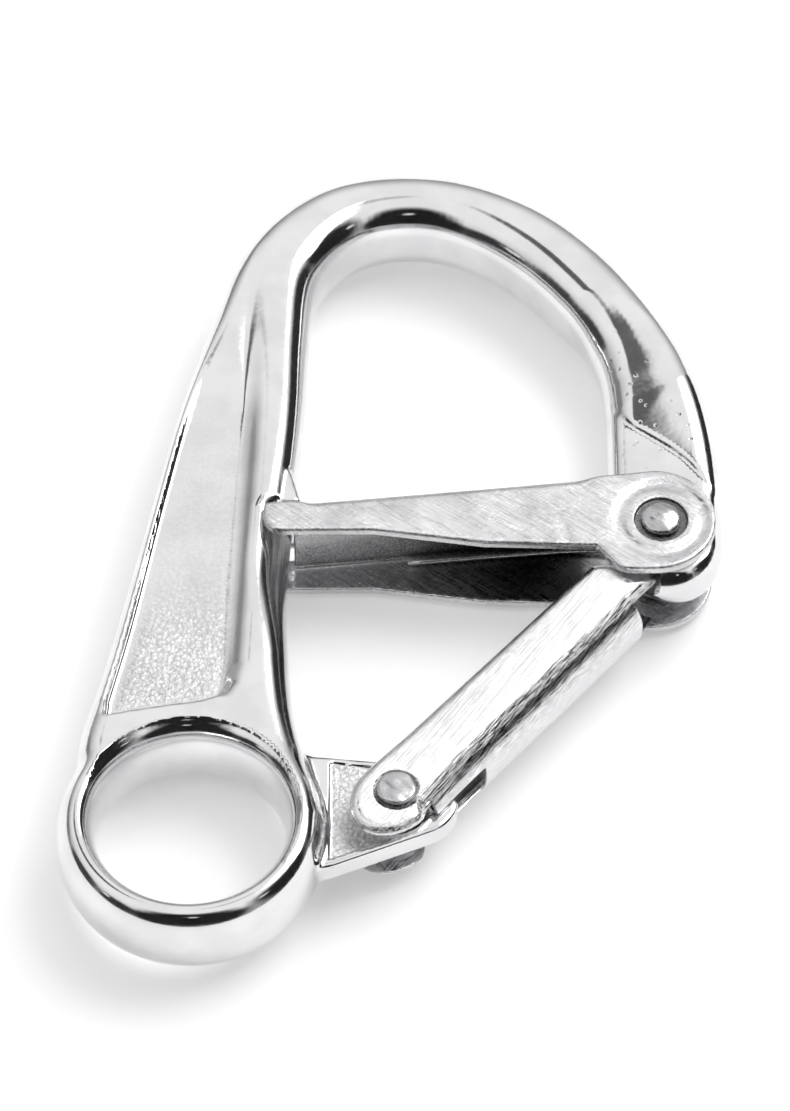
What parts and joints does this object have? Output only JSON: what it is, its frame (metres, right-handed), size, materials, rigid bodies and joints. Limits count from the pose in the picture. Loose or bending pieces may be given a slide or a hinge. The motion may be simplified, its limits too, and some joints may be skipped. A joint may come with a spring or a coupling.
{
  "type": "double-lever safety hook",
  "caption": "Forged steel safety hook with a round eye, a D-shaped bow, a sprung gate across the bow and a sprung locking lever between nose and eye.",
  "frame": {"origin": "centre of the bounding box in plan, on the plane through the lowest rivet head, so the hook lies on its side on a surface", "axes": "+Z normal to the flat of the hook, +Y from the eye towards the bow, +X from the spine towards the nose"},
  "size_m": [0.1151, 0.1644, 0.0224],
  "materials": {
    "forging": "bright plated forging, polished on its rounds, sand-cast texture in the spine's sunk panels and on the ear",
    "sheet": "bright plated pressed sheet steel with fine scratches",
    "rivet": "peened bright steel",
    "spring_wire": "drawn spring wire"
  },
  "bodies": {
    "hook": {"hook_body": "forging", "gate_rivet": "rivet", "gate_sleeve_front": "rivet", "gate_sleeve_back": "rivet", "lever_rivet": "rivet", "lever_sleeve_front": "rivet", "lever_sleeve_back": "rivet"},
    "gate": {"gate": "sheet", "gate_spring_front": "spring_wire", "gate_spring_back": "spring_wire"},
    "lever": {"locking_lever": "sheet", "lever_spring": "spring_wire"}
  },
  "joints": [
    {"name": "gate_hinge", "type": "hinge", "parent": "hook", "child": "gate", "pos_m": [0.04635, 0.0008, 0.0112], "axis": [0, 0, 1], "range_deg": [0, 42], "stiffness_Nm_per_rad": 0.3, "springref_deg": -20.05},
    {"name": "lever_hinge", "type": "hinge", "parent": "hook", "child": "lever", "pos_m": [0.00025, -0.0542, 0.0112], "axis": [0, 0, -1], "range_deg": [0, 60], "stiffness_Nm_per_rad": 0.25, "springref_deg": -20.05}
  ]
}
